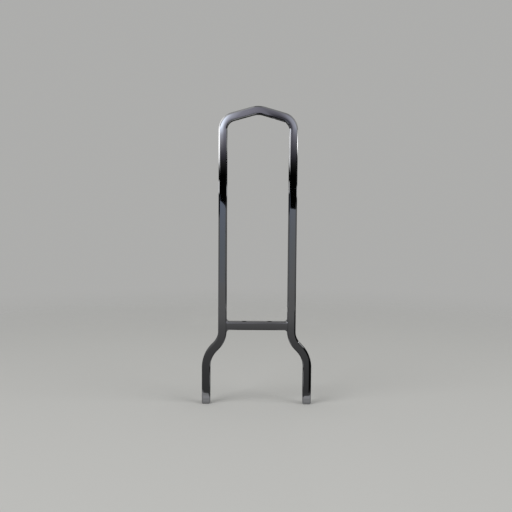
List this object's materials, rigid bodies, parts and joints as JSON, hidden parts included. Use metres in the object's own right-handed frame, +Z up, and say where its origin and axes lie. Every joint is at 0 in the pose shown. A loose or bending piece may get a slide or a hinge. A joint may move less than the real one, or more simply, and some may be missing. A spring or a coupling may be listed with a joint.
{
  "type": "sissy bar",
  "caption": "Chromed motorcycle sissy bar: a bent square-bar hoop with a low peak, jogged legs and a drilled cross bar, made to bolt behind a seat and carry a back pad.",
  "frame": {"origin": "midway between the two leg ends, at the level of their ends", "axes": "+Z up the legs towards the peak, +X across towards the right leg, +Y through the thin direction of the bar, away from the viewer"},
  "size_m": [0.2054, 0.0158, 0.5543],
  "materials": {
    "chrome_plate": "bright chrome plate over polished steel, faintly wavy from buffing"
  },
  "bodies": {
    "root": {"hoop_bar": "chrome_plate", "cross_bar": "chrome_plate", "left_weld": "chrome_plate", "right_weld": "chrome_plate"}
  },
  "joints": []
}
